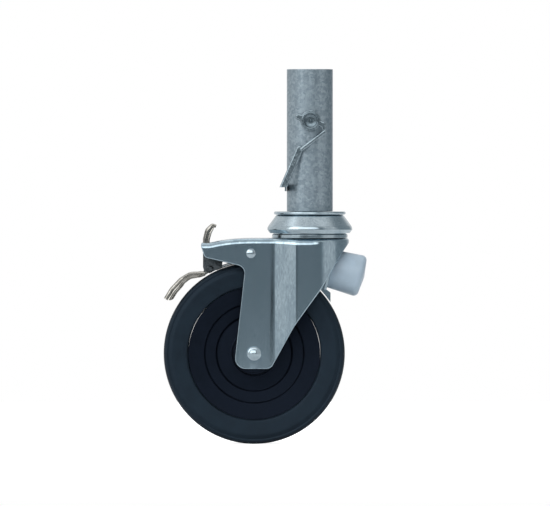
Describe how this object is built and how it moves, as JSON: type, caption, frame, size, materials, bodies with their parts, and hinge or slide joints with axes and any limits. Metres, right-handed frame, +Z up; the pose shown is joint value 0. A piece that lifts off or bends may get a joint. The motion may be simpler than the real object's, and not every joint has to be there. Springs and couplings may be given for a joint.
{
  "type": "scaffold castor",
  "caption": "Braked swivel castor for a scaffold leg: round tube stem with lock pin and latch, swivel head, pressed fork, tread brake pedal and black wheel.",
  "frame": {"origin": "on the swivel axis, at the top face of the stem flange", "axes": "+Z up along the stem, +X from the brake pedal towards the spring cap, +Y along the axle away from the side with the axle's head"},
  "size_m": [0.2242, 0.0975, 0.4138],
  "materials": {
    "galvanised_tube": "hot-dip galvanised, mottled grey",
    "galvanised_fittings": "galvanised, dull",
    "bright_zinc": "bright zinc plated, glossy",
    "zinc_sheet": "zinc plated sheet steel, satin",
    "dark_zinc": "zinc plated plate in shadowed grey",
    "nickelled": "nickel plated, glossy, warm",
    "ball_steel": "ground bearing steel",
    "spring_steel": "dark spring wire",
    "black_rubber": "black rubber, matt",
    "black_moulded": "black moulded plastic",
    "white_moulded": "natural white moulded plastic, slightly translucent"
  },
  "bodies": {
    "stem": {"stem_tube": "galvanised_tube", "stem_flange": "bright_zinc", "swivel_cup": "bright_zinc", "kingpin": "bright_zinc", "kingpin_nut": "bright_zinc", "lower_race": "bright_zinc"},
    "fork": {"fork": "zinc_sheet", "neck_ring": "bright_zinc", "upper_balls": "ball_steel", "lower_balls": "ball_steel", "axle_bolt": "bright_zinc", "axle_washer": "bright_zinc", "axle_nut": "bright_zinc", "axle_sleeve": "bright_zinc", "thrust_washer_near": "black_moulded", "thrust_washer_far": "black_moulded", "pivot_pin": "bright_zinc", "pivot_clip": "bright_zinc", "pivot_bush_near": "bright_zinc", "pivot_bush_far": "bright_zinc", "rear_bracket": "zinc_sheet", "adjuster_rod": "bright_zinc", "spring_washer": "bright_zinc", "adjuster_nut": "bright_zinc", "brake_spring": "spring_steel", "spring_cap": "white_moulded"},
    "wheel": {"tyre": "black_rubber", "wheel_core": "black_moulded", "roller_bearing": "ball_steel"},
    "pedal": {"pedal_cheek_near": "dark_zinc", "pedal_cheek_far": "dark_zinc", "foot_plate": "nickelled", "release_finger": "nickelled", "finger_rivet": "dark_zinc", "foot_rivet": "dark_zinc", "cam_bar": "bright_zinc"},
    "brake_arm": {"brake_arm": "bright_zinc"},
    "lock_pin": {"lock_pin": "galvanised_fittings"},
    "latch": {"latch": "galvanised_fittings"}
  },
  "joints": [
    {"name": "swivel", "type": "hinge", "parent": "stem", "child": "fork", "pos_m": [0, 0, 0], "axis": [0, 0, 1], "continuous": true},
    {"name": "wheel_spin", "type": "hinge", "parent": "fork", "child": "wheel", "pos_m": [-0.0614, 0, -0.1566], "axis": [0, 1, 0], "continuous": true},
    {"name": "pedal_release", "type": "hinge", "parent": "fork", "child": "pedal", "pos_m": [-0.065, 0, -0.046], "axis": [0, 1, 0], "range_deg": [0, 16]},
    {"name": "arm_lift", "type": "hinge", "parent": "fork", "child": "brake_arm", "pos_m": [0.0075, 0, -0.05907], "axis": [0, 1, 0], "range_deg": [0, 1.25]},
    {"name": "pin_slide", "type": "slide", "parent": "stem", "child": "lock_pin", "axis": [0, -1, 0], "range_m": [0, 0.062]},
    {"name": "latch_swing", "type": "hinge", "parent": "lock_pin", "child": "latch", "pos_m": [0.0007, 0, 0.1004], "axis": [0, 1, 0], "range_deg": [0, 140]}
  ],
  "couplings": [
    {"joint": "arm_lift", "follows": "pedal_release", "ratio": 0.075}
  ]
}
